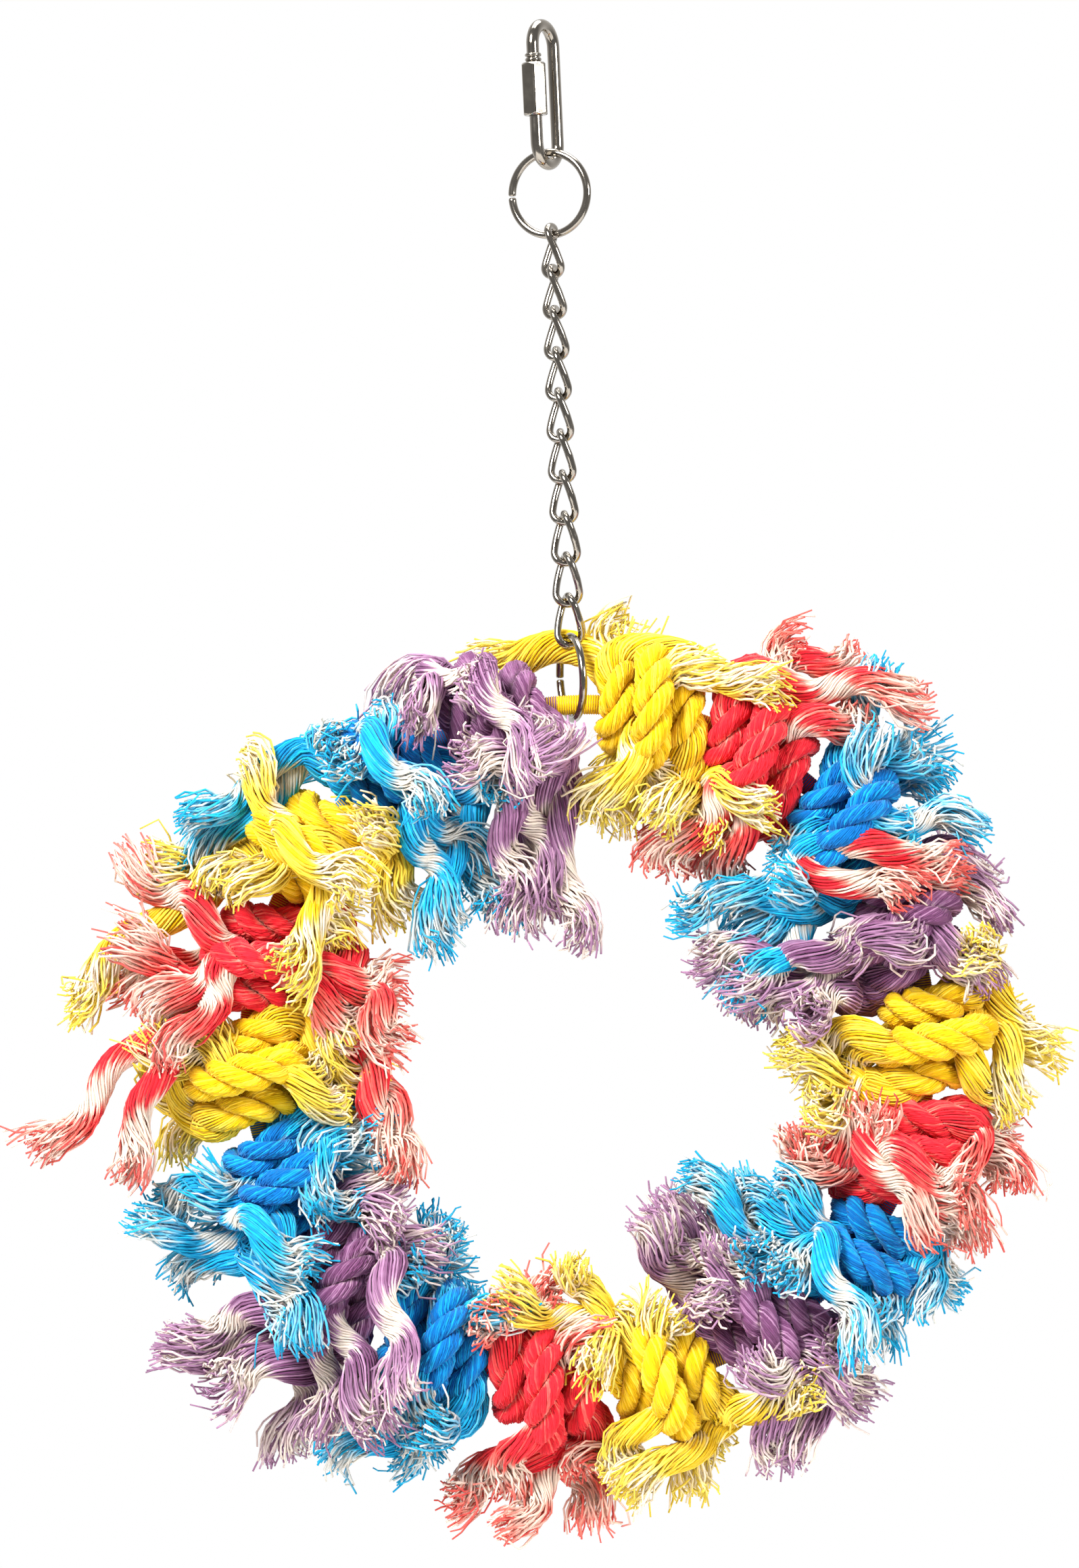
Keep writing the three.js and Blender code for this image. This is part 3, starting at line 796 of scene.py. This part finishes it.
class Rope:
    """Strands of one knot, each with its line, the way out of the rope and where the knot starts and ends.

    Three run from the outer tail's ends over the hitch to the inner tail's ends. Loose ones are tucked in.
    """

    def __init__(self, hitch, clockwise, tails, strays, settings, rng):
        radius = settings.diameter / MM / 2
        self.strand = radius / (1 + 2 / math.sqrt(3))
        lay = settings.lay / MM
        turns = hitch.place(np.linspace(HITCH_TURNS, -HITCH_TURNS, HITCH_STEPS))
        ends = [[on_hoop(*end) for end in tail] for tail in tails]
        middles = [hitch.tail(side, np.mean(tail, axis=0)) for side, tail in zip((1, -1), ends)]
        line = np.concatenate([middles[0][:0:-1], turns, middles[1][1:]])
        run = run_of(line)
        knot = run[len(middles[0]) - 1], run[-len(middles[1])]
        even = np.arange(0, run[-1], LINE_STEP)
        line = at_runs(line, even, run)
        across, beside = carried_frames(line)
        self.strands = []
        for k in range(STRANDS):
            angle = (2 * np.pi * (even / lay + k / STRANDS))[:, None]
            laid = (radius - self.strand) * (across * np.cos(angle) + beside * np.sin(angle))
            apart = np.zeros_like(line)
            loosened = np.zeros(len(line))
            for which, (tail, side) in enumerate(zip(ends, (1, -1))):
                start, stop = (knot[0], 0) if which == 0 else (knot[1], even[-1])
                share = np.clip((even - start) / (stop - start), 0, 1)
                split = rng.uniform(*SPLIT)
                loose = smoothstep(split, split + SPLIT_OVER, share)
                own = hitch.tail(side, tail[k])
                own_run = run_of(own)
                target = at_runs(own, share * own_run[-1], own_run)
                apart += loose[:, None] * (target - line)
                loosened += loose
            own = line + apart + laid * (1 - UNLAID * loosened)[:, None]
            self.strands.append((own, unit(laid), np.interp(knot, even, run_of(own))))
        reached = np.array([end[1] for tail in tails for end in tail])
        differing = lambda spread: rng.uniform(-spread, spread)
        tucked = [
            (turn, np.mean(reached[(reached < CORE_RADIUS) == inward]) + differing(DISTANCE_SPREAD), front)
            for turn, inward, front in STRAYS
        ]
        for turn, distance, front in (*tucked, *strays):
            turn = clockwise + turn + differing(TURN_SPREAD)
            side = np.sign(distance - CORE_RADIUS)
            over = bool(abs(distance - CORE_RADIUS) < OVER)
            end = on_hoop(turn, distance, front + differing(FRONT_SPREAD)) - [0, 0, SAG[over]]
            if over:
                start = on_hoop(clockwise, CORE_RADIUS - OVER * side, OVER)
                lift = OVER_LIFT
            else:
                start = on_hoop(clockwise, CORE_RADIUS + TUCKED_OUT * side, TUCKED_FRONT * np.sign(front))
                lift = TUCKED_LIFT * np.sign(front)
            between = [start + (end - start) * share - [0, lift * (1 - share), 0] for share in STRAY_SHARES]
            own = smooth_route([on_hoop(clockwise, CORE_RADIUS, 0), start, *between, end], STRAY_STEPS)
            run = run_of(own)
            own = at_runs(own, np.arange(0, run[-1], LINE_STEP), run)
            across, beside = carried_frames(own)
            angle = (2 * np.pi * (np.arange(len(own)) / lay + rng.random()))[:, None]
            wave = across * np.cos(angle) + beside * np.sin(angle)
            self.strands.append((own + CRIMP * wave, wave, (-1.0, 0.0)))


def serving(first, last, yarn):
    """One yarn wound closely round the core, between two places in degrees clockwise."""
    length = math.radians(last - first) * CORE_RADIUS
    pitch = SERVING_PITCH * yarn
    turn = np.arange(0, length / pitch, 1 / SERVING_STEPS)
    clockwise = np.radians(first) + turn * pitch / CORE_RADIUS
    outward = np.stack([np.sin(clockwise), 0 * clockwise, np.cos(clockwise)], axis=-1)
    around = 2 * np.pi * turn[:, None]
    return outward * (CORE_RADIUS + CORE_WIRE / 2 * np.cos(around)) + [0, CORE_WIRE / 2, 0] * np.sin(around)


def yarn_paths(rope, settings, rng):
    """Groups of yarns: whether they are whole, their points, how far these are beyond the knot and from the
    nearer end, and how far out in the rope they lay when it was dyed."""
    yarn = settings.yarn / MM
    fray, fan = settings.fray / MM, settings.fan
    step = STEP * max(1, sum(run_of(line)[-1] for line, _, _ in rope.strands) / LONGEST)
    for line, outward, knot in rope.strands:
        run = run_of(line)
        frames = carried_frames(line)
        to_end = run[-1] - run
        spans = [(kind, 0, run[-1]) for kind in (True, False)]
        if knot[0] > 0:
            to_end = np.minimum(to_end, run)
            inner = (False, 0, knot[0] + INTO_KNOT), (False, knot[1] - INTO_KNOT, run[-1])
            spans = [(True, 0, run[-1]), *inner]
        opening = np.clip(1 - to_end / fray, 0, 1)
        beyond = np.maximum(knot[0] - run, run - knot[1])
        freed = smoothstep(*OPENING, beyond)
        # The twist dies out where a tail frays
        rate = (1 - freed) / KNOT_YARN_LAY + freed * (1 - UNTWIST * opening) / LOOSE_YARN_LAY
        twist = -2 * np.pi * np.cumsum(np.diff(run, prepend=0) * rate)
        splay = rng.uniform(*SPLAY, 2) * fan
        stout = rng.uniform(*STOUT, 2)
        tilts = rng.uniform(0, np.pi, 2)
        for whole, first, last in spans:
            yarns = np.array([
                (share, 2 * np.pi * (j + 0.5 * (not through)) / count)
                for share, count, through in STRAND_YARNS
                if through == whole
                for j in range(count)
            ])
            share, angle = yarns.T[..., None]
            at_end = np.array([first == 0, last == run[-1]])[:, None, None]
            trim = rng.uniform(0, TRIM, (2, len(yarns), 1)) * at_end
            even = np.linspace(0, 1, int((last - first) / step))
            s = first + trim[0] + (last - first - trim[0] - trim[1]) * even
            late = (s > run[-1] / 2).astype(int)
            frayed = np.interp(s, run, opening)
            free = np.interp(s, run, freed)
            turn = angle + np.interp(s, run, twist)
            own = rng.uniform(*OWN_SPLAY, (len(yarns), 1))
            wide = stout[late] * (1 + (splay[late] * own - 1) * frayed**SPLAY_CURVE)
            laid = (rope.strand - yarn / 2) * (1.0 if whole else INSIDE)
            ring = share * (free * (LOOSE_STRAND - yarn / 2) * wide + (1 - free) * laid)
            tilt = tilts[late]
            broad = ring * np.cos(turn - tilt)
            thin = ring * np.sin(turn - tilt) * (1 - FLATTENED * frayed)
            u = broad * np.cos(tilt) - thin * np.sin(tilt)
            v = broad * np.sin(tilt) + thin * np.cos(tilt)
            wild = np.where(rng.random((len(yarns), 1)) < WILD_SHARE, WILD, 1)
            for wave, size in WAVES:
                swing = size * (LAID_CURL + LOOSE_CURL * free + wild * frayed)
                phases = 2 * np.pi * (s / wave + rng.random((2, len(yarns), 1)))
                u, v = np.stack([u, v]) + swing * np.sin(phases)
            across, beside, out = (at_runs(way, s, run) for way in (*frames, outward))
            p = at_runs(line, s, run) + u[..., None] * across + v[..., None] * beside
            p[..., 2] -= DROOP * frayed**2 * rng.random((len(yarns), 1))
            for sign, reach in ((-1, FRONT_REACH), (1, BACK_REACH)):
                over = np.maximum(sign * p[..., 1] - reach, 0)
                p[..., 1] -= sign * (over - GIVE * np.tanh(over / GIVE))
            facing = across * np.cos(turn)[..., None] + beside * np.sin(turn)[..., None]
            exposed = share * np.sum(facing * out, axis=-1)
            yield whole, p, np.interp(s, run, beyond), np.interp(s, run, to_end), exposed


# How each dye took: depth in the knot, in the tails and at the tips, where in the rope it starts and where
# it is full, and the share of yarns that are pale where they fray
DYEING = {
    "yellow": (0.86, 0.74, 0.6, -0.9, -0.2, 0.5),
    "red": (0.9, 0.84, 0.62, -0.45, 0.35, 0.74),
    "blue": (0.86, 0.62, 0.6, -0.8, 0.1, 0.42),
    "purple": (0.82, 0.72, 0.6, -0.5, 0.4, 0.48),
}
PALE_SPREAD = 0.25  # by which that share differs from strand to strand
STREAKS = 0.4  # by which the depth differs from yarn to yarn
# Where the dye changes along a yarn: start, end and how much that differs from yarn to yarn
LEAVING_KNOT = (-4, 10, 4)
PALE_END = (20, 10, 10)
DIPPED_TIP = (8, 2, 5)
PALE_LOSS = 0.85  # of the dye, at the frayed ends of pale yarns
FRAY_LOSS = 0.3  # and of the others
DIPPED = 0.75  # share of the tips that were dipped again
REACH_SPREAD = (0.35, 0.6)  # how yarns differ in how deep the dye reached: all, and besides in the tails
KNOT_REACH = 0.45  # how much deeper it reached in a knot
TONE = (0.78, 0.38)  # brightness of the darkest yarns, and how much more the lightest have
SEEDS = 100  # random seeds kept for one ring, and the place of the dyes among them
DYE_SEEDS = 50


def zone_share(zone, places, mark):
    """How far each place on a yarn is through a zone."""
    start, end, spread = zone
    return smoothstep(start, end, places + spread * mark)


def dye_taken(colour, beyond, gaps, exposed, marks, rng):
    """How much dye each point of the yarns took: most where it lay outside in the rope."""
    knot, tail, tip, least, most, pale = DYEING[colour]
    pale += rng.uniform(-PALE_SPREAD, PALE_SPREAD)
    mark = marks[:, None] - 0.5
    outside = zone_share(LEAVING_KNOT, beyond, mark)
    depth = (knot + (tail - knot) * outside) * (1 - STREAKS * mark)
    differing = (REACH_SPREAD[0] + REACH_SPREAD[1] * outside) * mark
    reached = smoothstep(least, most, exposed - differing + KNOT_REACH * (1 - outside))
    lost = np.where(mark > 0.5 - pale, PALE_LOSS, FRAY_LOSS) * zone_share(PALE_END, gaps, mark)
    depth = depth * reached * (1 - lost)
    dipped = tip * zone_share(DIPPED_TIP, gaps, mark) * (mark < DIPPED - 0.5)
    return np.clip(np.maximum(depth, dipped), 0, 1)


class ROPERING_OT_knots(bpy.types.Operator):
    """Lengths of laid cotton rope hitched round the core, with their tails frayed to yarns"""

    bl_idname = "ropering.knots"
    bl_label = "Rope Knots"

    def execute(self, context):
        settings = context.scene.ring_rope
        yarn = settings.yarn / MM
        dyes = {
            colour: cotton(
                f"{colour}_cotton_yarn",
                tuple(getattr(settings, colour)),
                tuple(getattr(settings, colour + "_light")),
                tuple(settings.undyed),
            )
            for colour in DYEING
        }
        for number, (colour, clockwise, turned_out, *tails) in enumerate(KNOTS, 1):
            rng = np.random.default_rng(settings.seed * SEEDS + number)
            dye_rng = np.random.default_rng(settings.seed * SEEDS + DYE_SEEDS + number)
            strays = MORE_STRAYS.get(number, ())
            rope = Rope(Hitch(clockwise, turned_out), clockwise, tails, strays, settings, rng)
            parts, dye, tone = [], [], []
            for whole, points, beyond, gaps, exposed in yarn_paths(rope, settings, rng):
                marks = rng.random(len(points))
                thin = 1 - TIP_THIN * np.clip(1 - gaps / TIP, 0, 1)
                sides = YARN_SIDES[whole]
                parts.append(tubes(points + HOOP, yarn / 2 * thin, sides))
                taken = dye_taken(colour, beyond, gaps, exposed, marks, dye_rng)
                dye.append(np.repeat(taken.ravel(), sides))
                tone.append(np.repeat(TONE[0] + TONE[1] * marks, points.shape[1] * sides))
            back = SERVED_TO_RING if number == 1 else SERVED
            wound = serving(clockwise - back, clockwise + SERVED, yarn)
            parts.append(wire(wound + HOOP, yarn / 2, YARN_SIDES[True]))
            dye.append(np.full(len(wound) * YARN_SIDES[True], DYEING[colour][0]))
            tone.append(np.full(len(wound) * YARN_SIDES[True], SERVED_TONE))
            values = {"dye": np.concatenate(dye), "tone": np.concatenate(tone)}
            node = f"knot_{number:02d}_{colour}"
            piece = mesh_object(node + "_rope", parts, dyes[colour], values)
            fitted(piece, "rope_ring", node)
        return {"FINISHED"}


# Stage

HOOP_IN_PHOTO = (870, 1543)  # where the hoop's middle shows in the photograph, in its pixels
PHOTO_SCALE = 5.33  # pixels of the photograph in a millimetre
SENSOR = 36.0
FLOOR_BELOW = 0.3  # metres under the ring
FLOOR_HALF = 0.8  # metres, which keeps the floor out of the photograph's view
# Area lights: place from the object's middle and size, in metres
SOFTBOXES = {
    "key": ((-0.7, -1.1, 0.9), 0.6),
    "fill": ((1.1, -0.9, 0.3), 0.4),
    "top": ((0.1, 0.2, 1.2), 0.9),
}


def placed(right, up, back, place):
    """Matrix of a camera or light from its own directions and its place."""
    return Matrix([[right[k], up[k], back[k], place[k]] for k in range(3)] + [[0, 0, 0, 1]])


class ROPERING_OT_stage(bpy.types.Operator):
    """Pale floor, soft lights and the camera"""

    bl_idname = "ropering.stage"
    bl_label = "Stage"

    def execute(self, context):
        settings = context.scene.ring_stage
        self.camera(context, settings)
        self.floor(context, settings)
        self.lights(context, settings)
        return {"FINISHED"}

    def camera(self, context, settings):
        lean = settings.lean
        right = np.array([math.cos(lean), 0, -math.sin(lean)])
        up = np.array([math.sin(lean), 0, math.cos(lean)])
        across, down = (PHOTO_SIZE[k] / 2 - HOOP_IN_PHOTO[k] for k in (0, 1))
        aim = (HOOP + (right * across - up * down) / PHOTO_SCALE) * MM
        data = bpy.data.cameras.new("photo_camera")
        data.sensor_width = SENSOR
        data.lens = SENSOR * settings.distance / (PHOTO_SIZE[1] / PHOTO_SCALE * MM)
        camera = bpy.data.objects.new("photo_camera", data)
        context.scene.collection.objects.link(camera)
        back = np.array([0, -1, 0])
        place = aim + back * settings.distance
        camera.matrix_world = placed(right, up, back, place)
        context.scene.camera = camera

    def floor(self, context, settings):
        low = CAD_BOX[0][2] - FLOOR_BELOW
        corners = ((-1, -1), (1, -1), (1, 1), (-1, 1))
        mesh = bpy.data.meshes.new("floor")
        mesh.from_pydata([(x * FLOOR_HALF, y * FLOOR_HALF, low) for x, y in corners], [], [(0, 1, 2, 3)])
        mesh.materials.append(floor_paper("studio_paper", tuple(settings.floor)))
        floor = bpy.data.objects.new("floor", mesh)
        context.scene.collection.objects.link(floor)
        floor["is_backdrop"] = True

    def lights(self, context, settings):
        middle = np.array(CAD_BOX).mean(axis=0)
        for name, (offset, size) in SOFTBOXES.items():
            data = bpy.data.lights.new(name + "_softbox", "AREA")
            data.size = size
            data.energy = settings.key if name == "key" else settings.fill
            light = bpy.data.objects.new(name + "_softbox", data)
            context.scene.collection.objects.link(light)
            place = middle + np.array(offset)
            back = unit(np.array(offset))
            right = unit(np.cross([0, 0, 1], back))
            up = np.cross(back, right)
            light.matrix_world = placed(right, up, back, place)
        world = bpy.data.worlds.new("studio")
        context.scene.world = world
        world.use_nodes = True
        tree = world.node_tree
        # A white backdrop behind the ring, and a dim room in front of it
        way = add_node(tree, "ShaderNodeTexCoord")
        depth = add_node(tree, "ShaderNodeSeparateXYZ", [("Vector", way.outputs["Generated"])])
        strength = add_node(
            tree,
            "ShaderNodeMapRange",
            [("Value", depth.outputs["Y"])],
            sockets={"From Min": -0.1, "From Max": 0.75, "To Min": settings.ambient, "To Max": 1.0},
        )
        background = tree.nodes["Background"]
        background.inputs["Color"].default_value = (1, 1, 1, 1)
        tree.links.new(strength.outputs["Result"], background.inputs["Strength"])
        context.scene.view_settings.view_transform = "Standard"


class ROPERING_PT_panel(bpy.types.Panel):
    """Lists the ring's pieces and settings"""

    bl_label = "Rope Ring"
    bl_idname = "ROPERING_PT_panel"
    bl_space_type = "VIEW_3D"
    bl_region_type = "UI"
    bl_category = "Rope Ring"

    def draw(self, context):
        for operator in OPERATORS:
            self.layout.operator(operator.bl_idname)
        for group in (context.scene.ring_rope, context.scene.ring_fittings, context.scene.ring_stage):
            box = self.layout.box()
            for name in group.__annotations__:
                box.prop(group, name)


SETTINGS = {"ring_rope": RopeSettings, "ring_fittings": FittingSettings, "ring_stage": StageSettings}
OPERATORS = (
    ROPERING_OT_stage,
    ROPERING_OT_quick_link,
    ROPERING_OT_nut,
    ROPERING_OT_rings,
    ROPERING_OT_chain,
    ROPERING_OT_core,
    ROPERING_OT_knots,
)


def register():
    for kind in (*SETTINGS.values(), *OPERATORS, ROPERING_PT_panel):
        bpy.utils.register_class(kind)
    for name, kind in SETTINGS.items():
        setattr(bpy.types.Scene, name, PointerProperty(type=kind))


def unregister():
    for name in SETTINGS:
        delattr(bpy.types.Scene, name)
    for kind in (ROPERING_PT_panel, *reversed(OPERATORS), *SETTINGS.values()):
        bpy.utils.unregister_class(kind)


def main():
    register()
    bpy.ops.ropering.stage()
    bpy.ops.ropering.quick_link()
    bpy.ops.ropering.nut()
    bpy.ops.ropering.rings()
    bpy.ops.ropering.chain()
    bpy.ops.ropering.core()
    bpy.ops.ropering.knots()
    {"cad": CAD_BOX, "visual": [list(corner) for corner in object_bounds()]}


if __name__ == "__main__":
    main()
